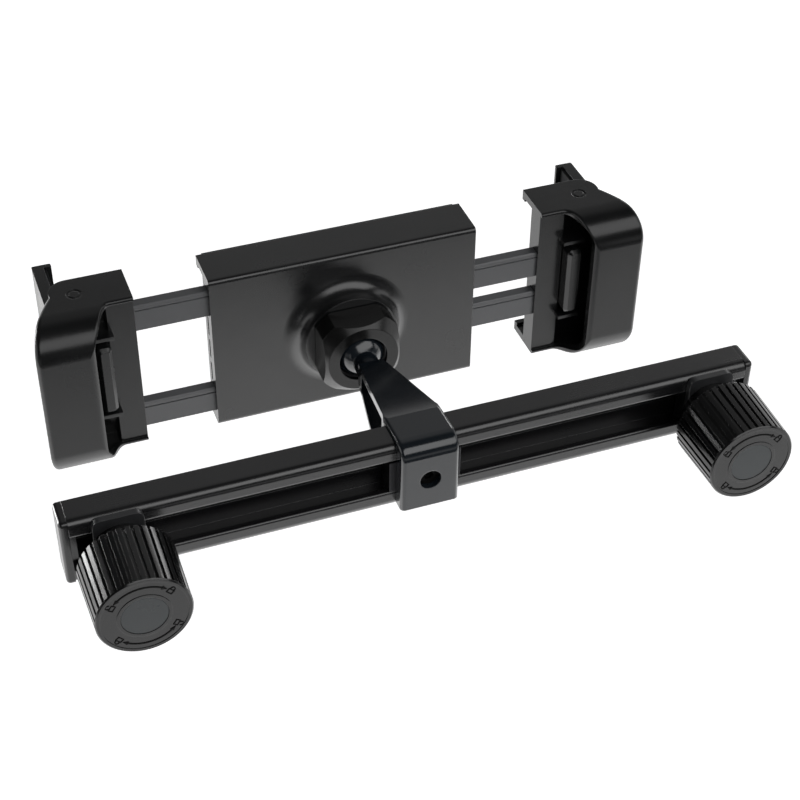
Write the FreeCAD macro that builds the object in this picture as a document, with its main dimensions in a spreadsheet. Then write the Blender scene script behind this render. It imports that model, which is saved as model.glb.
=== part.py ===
"""Headrest tablet mount: slotted bar with two turning knobs, ball arm and a sliding tablet holder.

Millimetres. X runs along the bar, Y from the knobs to the tablet, Z up, origin at the bar's centre.
"""
import FreeCAD, Part
import math
import os
import Sketcher
from FreeCAD import Placement, Rotation, Vector

SIZES = {
    # extruded bar
    "bar_length": 207.2,
    "bar_depth": 10.0,
    "bar_height": 23.2,
    "bar_lip_depth": 2.0,
    "bar_back_wall": 1.6,
    "bar_slot_height": 11.4,
    "bar_channel_height": 17.6,
    "bar_far_round": 0.8,
    "bar_lip_round": 2.6,
    "bar_slot_round": 0.9,
    "bar_ridge_spread": 5.2,
    "bar_ridge_width": 1.2,
    "bar_ridge_height": 0.6,
    # end caps
    "cap_thickness": 2.5,
    "cap_corner": 1.4,
    "cap_edge_round": 1.2,
    "cap_plug_length": 2.0,
    "cap_plug_gap": 0.1,
    # sliding bolts, plates and knobs
    "left_knob_inset": 13.4,
    "right_knob_inset": 12.5,
    "bolt_head_length": 13.0,
    "bolt_head_depth": 4.1,
    "slide_gap": 0.3,
    "face_gap": 0.1,
    "stud_radius": 3.0,
    "stud_reach": 29.0,
    "turning_gap": 0.05,
    "plate_width": 14.6,
    "plate_depth": 2.0,
    "plate_corner": 2.5,
    "knob_radius": 13.4,
    "knob_length": 20.6,
    "knob_draft": 0.5,
    "knob_chamfer": 0.4,
    "hub_radius": 8.9,
    "hub_length": 6.3,
    "bore_spare": 1.0,
    "rib_gap_width": 0.95,
    "rib_gap_depth": 0.7,
    "rib_count": 36.0,
    "face_ring_inner": 7.6,
    "face_ring_outer": 12.1,
    "face_ring_depth": 0.16,
    "disc_radius": 6.5,
    "disc_thickness": 0.4,
    "disc_recess": 0.5,
    "washer_radius": 12.4,
    "washer_thickness": 1.1,
    # arm
    "foot_width": 18.0,
    "foot_wall": 4.6,
    "foot_top": 1.9,
    "foot_hang": 10.0,
    "foot_bend": 5.0,
    "foot_edge": 1.5,
    "foot_lead": 1.0,
    "foot_lead_drop": 0.6,
    "saddle_gap": 0.15,
    "neck_radius": 4.0,
    "neck_start": 43.0,
    "wedge_root_width": 16.4,
    "wedge_root_lead": 4.0,
    "wedge_tail_drop": 8.7,
    "wedge_tail_place": 27.0,
    "wedge_tail_lead": 3.0,
    "web_thickness": 4.4,
    "flange_thickness": 2.0,
    "pocket_start_gap": 5.0,
    "pocket_end_gap": 4.0,
    "head_hole_radius": 3.25,
    "head_hole_depth": 3.6,
    "arm_screw_radius": 1.95,
    "arm_screw_head_radius": 3.1,
    "arm_screw_head_height": 1.7,
    "arm_screw_key_radius": 1.3,
    "arm_screw_key_floor": 0.5,
    "arm_screw_reach": 6.3,
    "key_length": 22.0,
    "thread_gap": 0.05,
    # ball joint
    "ball_centre": 55.5,
    "ball_radius": 8.5,
    "ball_gap": 0.15,
    "seat_thickness": 0.8,
    "front_seat_start": 63.5,
    "front_seat_end": 74.5,
    "rear_seat_start": 97.0,
    "rear_seat_end": 150.0,
    "nut_face": 6.2,
    "nut_length": 10.8,
    "nut_flats": 24.6,
    "nut_radius": 14.8,
    "nut_face_radius": 11.5,
    "nut_tail_chamfer": 0.6,
    "nut_opening_radius": 7.9,
    "nut_lip": 1.0,
    "sleeve_radius": 11.4,
    "sleeve_setback": 1.5,
    # housing
    "housing_length": 87.5,
    "boss_length": 10.9,
    "housing_height": 57.0,
    "housing_depth": 15.1,
    "housing_wall": 1.8,
    "housing_flange": 2.5,
    "housing_lip_height": 3.5,
    "housing_lip_depth": 2.0,
    "housing_round": 1.5,
    "housing_end_wall": 2.0,
    "boss_top_radius": 15.3,
    "boss_flare": 5.8,
    "end_slot_height": 7.0,
    "end_slot_width": 1.2,
    "end_slot_pitch": 9.0,
    "end_slot_inset": 1.0,
    "post_radius": 2.5,
    "post_spacing": 24.0,
    "pilot_radius": 0.9,
    "pilot_floor": 0.4,
    "back_plate_thickness": 1.7,
    "plate_gap": 0.1,
    "pad_thickness": 0.8,
    "pad_width": 3.0,
    "pad_inset": 2.0,
    "brake_length": 10.0,
    "brake_height": 6.0,
    "brake_thickness": 0.9,
    # rails
    "rail_height": 9.2,
    "rail_thickness": 3.6,
    "rail_length": 84.0,
    "rail_in_jaw": 7.5,
    "rail_gap": 0.2,
    "rail_edge_distance": 9.5,
    "inner_rail_place": 7.8,
    "rail_groove_place": 1.5,
    "rail_groove_width": 0.5,
    "rail_groove_depth": 0.35,
    "rail_chamfer": 0.5,
    "rib_thickness": 1.3,
    # jaws
    "jaw_inner_face": 66.5,
    "left_jaw_extra": 0.4,
    "jaw_strip_width": 8.5,
    "strip_recess": 1.0,
    "jaw_depth": 15.6,
    "jaw_floor_depth": 6.0,
    "jaw_floor_thickness": 2.0,
    "cover_rise": 10.9,
    "cover_edge": 81.2,
    "cover_end": 99.3,
    "cover_round": 11.0,
    "sweep_start": 1.5,
    "sweep_length": 9.5,
    "sweep_lead": 4.8,
    "cover_end_round": 1.6,
    "cover_end_bulge": 0.9,
    "jaw_tail_end": 90.2,
    "jaw_corner": 6.0,
    "jaw_wall": 1.6,
    "jaw_edge_round": 1.0,
    "mark_setback": 8.0,
    "mark_outer_radius": 2.4,
    "mark_inner_radius": 1.6,
    "mark_depth": 0.3,
    "jaw_bead": 1.3,
    "mouth_round": 8.0,
    "jaw_lip_height": 3.5,
    "jaw_lip_depth": 2.0,
    "latch_width": 4.8,
    "latch_height": 25.0,
    "latch_centre": 2.0,
    "latch_gap": 0.2,
    "latch_depth": 10.3,
    "latch_chamfer": 1.1,
    "latch_end_round": 1.6,
    "web_depth": 8.6,
    "web_gap": 2.4,
    # hooks
    "hook_outer": 91.6,
    "hook_thickness": 3.6,
    "hook_half_height": 23.8,
    "hook_rise": 16.8,
    "hook_lip": 2.4,
    "hook_lip_thickness": 1.5,
    "hook_foot_length": 10.0,
    "hook_foot_thickness": 2.0,
    "hook_edge_round": 0.6,
    "hook_screw_inset": 5.0,
    "hook_seat_gap": 3.0,
    "hook_gap": 0.3,
    "liner_thickness": 0.8,
    # small screws
    "screw_radius": 0.85,
    "screw_head_radius": 1.7,
    "screw_head_height": 1.0,
    "screw_length": 5.0,
}

doc = FreeCAD.newDocument("HeadrestTabletMount")
sheet = doc.addObject("Spreadsheet::Sheet", "Sizes")
for row, (alias, number) in enumerate(SIZES.items(), start=1):
    sheet.set(f"A{row}", alias)
    sheet.set(f"B{row}", str(number))
    sheet.setAlias(f"B{row}", alias)
doc.recompute()


class Size:
    """A length or angle together with the sheet formula that gives it."""

    def __init__(self, number, formula):
        self.number = number
        self.formula = formula

    def __float__(self):
        return float(self.number)

    def __neg__(self):
        return Size(-self.number, f"-({self.formula})")

    def __add__(self, other):
        return joined(self, "+", other, self.number + plain(other))

    def __sub__(self, other):
        return joined(self, "-", other, self.number - plain(other))

    def __mul__(self, other):
        return joined(self, "*", other, self.number * plain(other))

    def __truediv__(self, other):
        return joined(self, "/", other, self.number / plain(other))

    def __radd__(self, other):
        return joined(other, "+", self, plain(other) + self.number)

    def __rsub__(self, other):
        return joined(other, "-", self, plain(other) - self.number)

    def __rmul__(self, other):
        return joined(other, "*", self, plain(other) * self.number)


def plain(value):
    return value.number if isinstance(value, Size) else value


def formula(value):
    return value.formula if isinstance(value, Size) else str(value)


def joined(first, sign, second, number):
    return Size(number, f"({formula(first)} {sign} {formula(second)})")


class Sizes:
    """The cells of the sheet, each under its alias."""

    def __getattr__(self, alias):
        return Size(float(sheet.get(alias)), f"Sizes.{alias}")


m = Sizes()

SIDES = {"left": -1, "right": 1}
POST_STEPS = (-1.5, -0.5, 0.5, 1.5)
PARTS = {}


def vector(x, y, z):
    return Vector(float(x), float(y), float(z))


def keep(label, thing):
    """Names a finished sub-part; the label is also its file name."""
    thing.Label = label
    PARTS[label] = thing
    return thing


def bind(thing, **rules):
    """Ties properties of a document object to sheet formulas."""
    for name, value in rules.items():
        if isinstance(value, Size):
            thing.setExpression(name, value.formula)
        else:
            setattr(thing, name, value)
    return thing


def put(thing, x=0, y=0, z=0, turn=None):
    """Places a document object, with each coordinate tied to its formula."""
    thing.Placement = Placement(vector(x, y, z), turn or Rotation())
    for axis, value in zip("xyz", (x, y, z)):
        if isinstance(value, Size):
            thing.setExpression(f"Placement.Base.{axis}", value.formula)
    return thing


# Sketches and features


def new_body(label):
    return keep(label, doc.addObject("PartDesign::Body", label))


def sketch_on(body, role, offset=None):
    """An empty sketch on one of the body's origin planes, lifted by offset along its normal."""
    sketch = body.newObject("Sketcher::SketchObject", "Sketch")
    plane = next(item for item in body.Origin.OriginFeatures if item.Role == role)
    sketch.AttachmentSupport = [(plane, "")]
    sketch.MapMode = "FlatFace"
    if offset is not None:
        sketch.AttachmentOffset = Placement(vector(0, 0, offset), Rotation())
        if isinstance(offset, Size):
            sketch.setExpression("AttachmentOffset.Base.z", offset.formula)
    return sketch


def pin(sketch, kind, geometry, point, value):
    """Fixes one coordinate of a point of the sketch, measured from the sketch's origin."""
    index = sketch.addConstraint(Sketcher.Constraint(kind, -1, 1, geometry, point, float(value)))
    if isinstance(value, Size):
        sketch.setExpression(f"Constraints[{index}]", value.formula)


def draw_polygon(sketch, points):
    corners = [vector(x, y, 0) for x, y in points]
    first = sketch.GeometryCount
    count = len(corners)
    for i, corner in enumerate(corners):
        sketch.addGeometry(Part.LineSegment(corner, corners[(i + 1) % count]), False)
    for i in range(count):
        sketch.addConstraint(Sketcher.Constraint("Coincident", first + i, 2, first + (i + 1) % count, 1))
    for i, (x, y) in enumerate(points):
        pin(sketch, "DistanceX", first + i, 1, x)
        pin(sketch, "DistanceY", first + i, 1, y)


def draw_rectangle(sketch, left, bottom, right, top):
    draw_polygon(sketch, [(left, bottom), (right, bottom), (right, top), (left, top)])


def draw_circle(sketch, x, y, radius):
    circle = Part.Circle(vector(x, y, 0), Vector(0, 0, 1), float(radius))
    number = sketch.addGeometry(circle, False)
    pin(sketch, "DistanceX", number, 3, x)
    pin(sketch, "DistanceY", number, 3, y)
    index = sketch.addConstraint(Sketcher.Constraint("Radius", number, float(radius)))
    if isinstance(radius, Size):
        sketch.setExpression(f"Constraints[{index}]", radius.formula)


def pad(body, sketch, length, both_ways=False, reverse=False):
    feature = body.newObject("PartDesign::Pad", "Pad")
    feature.Profile = sketch
    feature.SideType = "Symmetric" if both_ways else "One side"
    feature.Reversed = reverse
    bind(feature, Length=length)
    doc.recompute()
    return feature


def pocket(body, sketch, length, both_ways=False, reverse=False):
    """Cuts a sketch out of the body; reverse cuts along the sketch's normal."""
    before = body.Shape.Volume
    feature = body.newObject("PartDesign::Pocket", "Pocket")
    feature.Profile = sketch
    feature.SideType = "Symmetric" if both_ways else "One side"
    feature.Reversed = reverse
    bind(feature, Length=length)
    doc.recompute()
    if feature.Shape.Volume >= before:
        raise ValueError(f"a pocket of {body.Label} cuts nothing")
    return feature


def revolve(body, sketch, axis):
    feature = body.newObject("PartDesign::Revolution", "Revolution")
    feature.Profile = sketch
    feature.ReferenceAxis = (sketch, [axis])
    feature.Angle = 360
    doc.recompute()
    return feature


def edges_where(shape, test):
    return [f"Edge{i}" for i, edge in enumerate(shape.Edges, start=1) if test(edge)]


def dress(body, kind, test, size):
    """Rounds or chamfers the edges of the body's last feature that pass the test."""
    base = body.Tip
    names = edges_where(base.Shape, test)
    feature = body.newObject(f"PartDesign::{kind}", kind)
    feature.Base = (base, names)
    bind(feature, **{"Radius" if kind == "Fillet" else "Size": size})
    doc.recompute()
    return feature


def along(edge, axis):
    """True for a straight edge that runs along the axis, given as 0, 1 or 2 for X, Y or Z."""
    if not isinstance(edge.Curve, (Part.Line, Part.LineSegment)):
        return False
    return abs(abs(edge.tangentAt(edge.FirstParameter)[axis]) - 1) < 1e-6


def near(value, target):
    return abs(value - float(target)) < 1e-4


def mirrored(points):
    """Adds to a chain of points its mirror image in the horizontal axis, in reverse order."""
    return points + [(x, -y) for x, y in reversed(points)]


# Part primitives


def box(x, y, z):
    """A box from its low and high coordinate on each axis."""
    item = doc.addObject("Part::Box", "Box")
    bind(item, Length=x[1] - x[0], Width=y[1] - y[0], Height=z[1] - z[0])
    return put(item, x[0], y[0], z[0])


def cylinder_y(radius, start, end, x=0, z=0):
    """A cylinder along Y from start to end."""
    item = doc.addObject("Part::Cylinder", "Cylinder")
    bind(item, Radius=radius, Height=end - start)
    return put(item, x, start, z, Rotation(Vector(1, 0, 0), -90))


def slab(x, y, half_height):
    """A plain solid between two X and two Y coordinates, as far up as down."""
    return Part.makeBox(float(x[1] - x[0]), float(y[1] - y[0]), 2 * float(half_height),
                        vector(x[0], y[0], -half_height))


def rod_y(radius, start, end, x=0, z=0):
    """A plain solid cylinder along Y from start to end."""
    return Part.makeCylinder(float(radius), float(end - start), vector(x, start, z), Vector(0, 1, 0))


def fuse(*items):
    joint = doc.addObject("Part::MultiFuse", "Fuse")
    joint.Shapes = list(items)
    joint.Refine = True
    return joint


def cut(base, tool):
    result = doc.addObject("Part::Cut", "Cut")
    result.Base = base
    result.Tool = tool
    return result


def shape_part(label, shape):
    """A sub-part whose shape comes from direct modelling."""
    item = doc.addObject("Part::Feature", label)
    item.Shape = shape
    item.Placement = Placement()
    return keep(label, item)


# Places that several pieces share

bar_near = -m.bar_depth / 2
bar_far = m.bar_depth / 2
lip_inner = bar_near + m.bar_lip_depth
channel_far = bar_far - m.bar_back_wall
half_slot = m.bar_slot_height / 2
half_channel = m.bar_channel_height / 2
plate_near = bar_near - m.face_gap - m.plate_depth
knob_back = plate_near - m.face_gap - m.hub_length
knob_front = knob_back - m.knob_length
nut_end = m.ball_centre - m.nut_face + m.nut_length
housing_near = m.ball_centre + m.boss_length
housing_far = housing_near + m.housing_depth
channel_near = housing_near + m.housing_wall
rail_near = channel_near + m.rail_gap
rail_far = rail_near + m.rail_thickness
plate_face = rail_far + m.rail_gap
cavity_radius = m.ball_radius + m.ball_gap * 2 + m.seat_thickness
outer_rail_place = m.housing_height / 2 - m.rail_edge_distance
cover_near = housing_near - m.cover_rise
jaw_floor = housing_near + m.jaw_floor_depth
jaw_far = housing_near + m.jaw_depth
strip_end = m.jaw_inner_face + m.jaw_strip_width
hook_inner = m.hook_outer - m.hook_thickness
hook_reach = jaw_far + m.hook_rise


def rail_bar():
    """Extrusion with a T-shaped channel; its outline is one side mirrored about the middle."""
    body = new_body("rail_bar")
    sketch = sketch_on(body, "YZ_Plane")
    top = m.bar_height / 2
    ridge = m.bar_ridge_spread / 2
    ridge_top = channel_far - m.bar_ridge_height
    upper_half = [
        (bar_far, top),
        (bar_near, top),
        (bar_near, half_slot),
        (lip_inner, half_slot),
        (lip_inner, half_channel),
        (channel_far, half_channel),
        (channel_far, ridge + m.bar_ridge_width / 2),
        (ridge_top, ridge + m.bar_ridge_width / 2),
        (ridge_top, ridge - m.bar_ridge_width / 2),
        (channel_far, ridge - m.bar_ridge_width / 2),
    ]
    draw_polygon(sketch, mirrored(upper_half))
    pad(body, sketch, m.bar_length, both_ways=True)

    def runs_at(y, z):
        return lambda edge: (along(edge, 0) and near(edge.Vertexes[0].Y, y)
                             and near(abs(edge.Vertexes[0].Z), z))

    dress(body, "Fillet", runs_at(bar_far, top), m.bar_far_round)
    dress(body, "Fillet", runs_at(bar_near, top), m.bar_lip_round)
    dress(body, "Fillet", runs_at(bar_near, half_slot), m.bar_slot_round)


def end_cap(side):
    """Cap over the bar's end, with a plug that fills the channel."""
    sign = SIDES[side]
    body = new_body(f"end_cap_{side}")
    end = m.bar_length / 2
    sketch = sketch_on(body, "YZ_Plane", sign * end)
    draw_rectangle(sketch, bar_near, -m.bar_height / 2, bar_far, m.bar_height / 2)
    pad(body, sketch, m.cap_thickness, reverse=sign < 0)
    for level, size in ((bar_near, m.cap_corner), (bar_far, m.bar_far_round)):
        dress(body, "Fillet", lambda edge: along(edge, 0) and near(edge.CenterOfMass.y, level), size)
    outer = sign * (end + m.cap_thickness)
    dress(body, "Fillet", lambda edge: near(edge.CenterOfMass.x, outer), m.cap_edge_round)
    plug = sketch_on(body, "YZ_Plane", sign * end)
    gap = m.cap_plug_gap
    draw_rectangle(plug, lip_inner + gap, gap - half_channel,
                   channel_far - m.bar_ridge_height - gap, half_channel - gap)
    pad(body, plug, m.cap_plug_length, reverse=sign > 0)


def slot_bolt(side):
    """T-shaped head that slides in the channel, square neck in the slot, and a stud."""
    head_near = lip_inner + m.face_gap
    half_length = m.bolt_head_length / 2
    head_half = half_channel - m.slide_gap
    neck_half = half_slot - m.slide_gap
    head = box((-half_length, half_length), (head_near, head_near + m.bolt_head_depth),
               (-head_half, head_half))
    neck = box((-half_length, half_length), (bar_near, head_near), (-neck_half, neck_half))
    stud = cylinder_y(m.stud_radius, -m.stud_reach, bar_near)
    bolt = keep(f"slot_bolt_{side}", fuse(head, neck, stud))
    put(bolt, knob_place(side))


def knob_place(side):
    insets = {"left": m.left_knob_inset, "right": m.right_knob_inset}
    return SIDES[side] * (m.bar_length / 2 - insets[side])


def guard_plate(side):
    """Flat plate on the stud that keeps knob and post off the bar's lips."""
    body = new_body(f"guard_plate_{side}")
    sketch = sketch_on(body, "XZ_Plane", -plate_near)
    half_width = m.plate_width / 2
    draw_rectangle(sketch, -half_width, -m.bar_height / 2, half_width, m.bar_height / 2)
    draw_circle(sketch, 0, 0, m.stud_radius + m.thread_gap)
    pad(body, sketch, m.plate_depth, reverse=True)
    dress(body, "Fillet", lambda edge: along(edge, 1), m.plate_corner)
    put(body, knob_place(side))


def knob(side):
    """Turned outline with hub and blind bore, then straight grooves cut all round the grip."""
    body = new_body(f"knob_{side}")
    profile = sketch_on(body, "XY_Plane")
    hub_end = knob_back + m.hub_length
    bore = m.stud_radius + m.turning_gap
    recess = m.disc_radius + m.face_gap
    bore_end = -m.stud_reach - m.bore_spare
    draw_polygon(profile, [
        (0, knob_front + m.disc_recess),
        (recess, knob_front + m.disc_recess),
        (recess, knob_front),
        (m.face_ring_inner, knob_front),
        (m.face_ring_inner, knob_front + m.face_ring_depth),
        (m.face_ring_outer, knob_front + m.face_ring_depth),
        (m.face_ring_outer, knob_front),
        (m.knob_radius - m.knob_chamfer, knob_front),
        (m.knob_radius, knob_front + m.knob_chamfer),
        (m.knob_radius + m.knob_draft, knob_back),
        (m.hub_radius, knob_back),
        (m.hub_radius, hub_end),
        (bore, hub_end),
        (bore, bore_end),
        (0, bore_end),
    ])
    revolve(body, profile, "V_Axis")
    groove = sketch_on(body, "XZ_Plane", -knob_back)
    half_gap = m.rib_gap_width / 2
    outside = m.knob_radius + m.knob_draft + 1
    draw_rectangle(groove, -half_gap, m.knob_radius - m.rib_gap_depth, half_gap, outside)
    first = pocket(body, groove, m.knob_length - m.knob_chamfer, reverse=True)
    ring = body.newObject("PartDesign::PolarPattern", "Grooves")
    ring.Originals = [first]
    ring.Axis = (profile, ["V_Axis"])
    ring.Angle = 360
    bind(ring, Occurrences=m.rib_count)
    body.Tip = ring
    put(body, knob_place(side))


def knob_disc(side):
    """Thin round inlay in the knob's face."""
    floor = knob_front + m.disc_recess
    disc = cylinder_y(m.disc_radius, floor - m.disc_thickness, floor, x=knob_place(side))
    keep(f"knob_disc_{side}", disc)


def grip_washer(side):
    """Ring on the hub that bears on the headrest post while the knob turns."""
    far = knob_back + m.face_gap + m.washer_thickness
    ring = cylinder_y(m.washer_radius, knob_back + m.face_gap, far)
    hole = cylinder_y(m.hub_radius + m.turning_gap * 2, knob_back - 1, far + 1)
    keep(f"grip_washer_{side}", put(cut(ring, hole), knob_place(side)))


def arm():
    """Saddle over the bar, wedge with side pockets, neck and ball, cast in one."""
    near_face = bar_near - m.foot_wall
    top = m.bar_height / 2 + m.foot_top
    bottom = -m.foot_hang
    neck = m.neck_radius
    start = m.neck_start
    side_points = [
        vector(0, near_face, bottom),
        vector(0, near_face, top - m.foot_bend),
        vector(0, near_face + m.foot_bend, top),
        vector(0, bar_far + m.foot_lead, top - m.foot_lead_drop),
        vector(0, start, neck),
        vector(0, start, -neck),
        vector(0, m.wedge_tail_place, -m.wedge_tail_drop),
        vector(0, bar_far + m.wedge_tail_lead, bottom),
    ]
    bend_share = 1 - math.sqrt(0.5)
    bend_middle = vector(0, near_face + m.foot_bend * bend_share, top - m.foot_bend * bend_share)
    edges = [Part.LineSegment(side_points[0], side_points[1]).toShape(),
             Part.Arc(side_points[1], bend_middle, side_points[2]).toShape()]
    for here, there in zip(side_points[2:], side_points[3:] + side_points[:1]):
        edges.append(Part.LineSegment(here, there).toShape())
    half = m.foot_width / 2
    side_face = Part.Face(Part.Wire(edges))
    side_face.translate(vector(-half, 0, 0))
    wedge = side_face.extrude(vector(m.foot_width, 0, 0))

    plan = [
        (half, near_face),
        (half, bar_far + m.foot_lead),
        (m.wedge_root_width / 2, bar_far + m.wedge_root_lead),
        (neck, start),
    ]
    plan = plan + [(-x, y) for x, y in reversed(plan)]
    plan_points = [vector(x, y, -m.foot_width) for x, y in plan]
    plan_face = Part.Face(Part.makePolygon(plan_points + plan_points[:1]))
    body = wedge.common(plan_face.extrude(vector(0, 0, m.foot_width * 2)))

    window = slab((-m.foot_width, m.foot_width), (bar_near - m.saddle_gap, bar_far + m.saddle_gap),
                  m.bar_height / 2 + m.saddle_gap)
    body = body.cut(window)
    body = body.makeFillet(float(m.foot_edge), [
        edge for edge in body.Edges
        if edge.BoundBox.YMax < float(bar_near - m.saddle_gap) and near(abs(edge.CenterOfMass.x), half)
    ])
    for sign in (-1, 1):
        body = body.cut(side_pocket(sign))
    neck_solid = rod_y(neck, start - m.neck_radius / 2, m.ball_centre)
    ball = Part.makeSphere(float(m.ball_radius), vector(0, m.ball_centre, 0))
    body = body.fuse([neck_solid, ball]).removeSplitter()
    hole = rod_y(m.arm_screw_radius + m.thread_gap, near_face, bar_near)
    recess = rod_y(m.head_hole_radius, near_face, near_face + m.head_hole_depth)
    shape_part("arm", body.cut([hole, recess]))


def side_pocket(sign):
    """Tapered pocket in one side of the wedge that leaves a web between two flanges."""
    rim = m.flange_thickness
    start = bar_far + m.pocket_start_gap
    end = m.neck_start - m.pocket_end_gap
    points = [
        vector(0, start, m.bar_height / 2 + m.foot_top - rim * 2),
        vector(0, end, m.neck_radius - rim * 0.8),
        vector(0, end, rim * 0.5 - m.neck_radius),
        vector(0, m.wedge_tail_place, rim - m.wedge_tail_drop),
        vector(0, start, rim - m.foot_hang),
    ]
    face = Part.Face(Part.makePolygon(points + points[:1]))
    face.translate(vector(sign * m.web_thickness / 2, 0, 0))
    return face.extrude(vector(sign * m.foot_width, 0, 0))


def arm_screw():
    """Socket head screw from the foot's hole into the key."""
    seat = bar_near - m.foot_wall + m.head_hole_depth
    head = cylinder_y(m.arm_screw_head_radius, seat - m.arm_screw_head_height, seat)
    shank = cylinder_y(m.arm_screw_radius, seat, seat + m.arm_screw_reach)
    socket = doc.addObject("Part::Prism", "Socket")
    socket.Polygon = 6
    bind(socket, Circumradius=m.arm_screw_key_radius * 2 / math.sqrt(3),
         Height=m.arm_screw_head_height - m.arm_screw_key_floor)
    put(socket, 0, seat - m.arm_screw_head_height, 0, Rotation(Vector(1, 0, 0), -90))
    keep("arm_screw", cut(fuse(head, shank), socket))


def arm_key():
    """Nut plate in the channel under the arm's foot."""
    head_near = lip_inner + m.face_gap
    half = m.key_length / 2
    head_half = half_channel - m.slide_gap
    neck_half = half_slot - m.slide_gap
    head_far = head_near + m.bolt_head_depth
    head = box((-half, half), (head_near, head_far), (-head_half, head_half))
    neck = box((-half, half), (bar_near, head_near), (-neck_half, neck_half))
    bore = cylinder_y(m.arm_screw_radius + m.thread_gap, bar_near - 1, head_far + 1)
    keep("arm_key", cut(fuse(head, neck), bore))


def ball_seat(label, start, end):
    """Part of a thin spherical shell, from one angle to another off the neck's direction."""
    inner = m.ball_radius + m.ball_gap
    outer = inner + m.seat_thickness

    def arc(radius):
        angles = (float(start), float(start + end) / 2, float(end))
        spots = [Vector(float(radius) * math.sin(math.radians(a)),
                        float(m.ball_centre) - float(radius) * math.cos(math.radians(a)), 0)
                 for a in angles]
        return Part.Arc(*spots).toShape()

    near_arc = arc(inner)
    far_arc = arc(outer)
    rims = [Part.LineSegment(near_arc.Vertexes[i].Point, far_arc.Vertexes[i].Point).toShape()
            for i in (0, 1)]
    section = Part.Face(Part.Wire([near_arc, rims[1], far_arc, rims[0]]))
    shape_part(label, section.revolve(Vector(0, 0, 0), Vector(0, 1, 0), 360))


def ball_nut():
    """Round nut with four flats and a cone at its face, and a spherical pocket behind its lip."""
    face = m.ball_centre - m.nut_face
    lip_end = face + m.nut_lip
    half_flats = m.nut_flats / 2
    blank = doc.addObject("Part::MultiCommon", "Blank")
    blank.Shapes = [
        cylinder_y(m.nut_radius, face, nut_end),
        box((-half_flats, half_flats), (face, nut_end), (-half_flats, half_flats)),
        cone_y(m.nut_face_radius, m.nut_face_radius + m.nut_length, face, nut_end),
        cone_y(m.nut_radius - m.nut_tail_chamfer + m.nut_length,
               m.nut_radius - m.nut_tail_chamfer, face, nut_end),
    ]
    sphere = doc.addObject("Part::Sphere", "Pocket")
    bind(sphere, Radius=cavity_radius)
    put(sphere, 0, m.ball_centre, 0)
    pocket_half = doc.addObject("Part::MultiCommon", "PocketBehindLip")
    pocket_half.Shapes = [sphere, cylinder_y(cavity_radius + 1, lip_end, nut_end + 1)]
    opening = cylinder_y(m.nut_opening_radius, face - 1, lip_end + 1)
    step = m.ball_centre - m.sleeve_setback - m.slide_gap
    thread = cylinder_y(m.sleeve_radius + m.face_gap, step, nut_end + 1)
    keep("ball_nut", cut(blank, fuse(pocket_half, opening, thread)))


def cone_y(start_radius, end_radius, start, end):
    """A cone along Y from start to end."""
    item = doc.addObject("Part::Cone", "Cone")
    bind(item, Radius1=start_radius, Radius2=end_radius, Height=end - start)
    return put(item, 0, start, 0, Rotation(Vector(1, 0, 0), -90))


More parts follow.
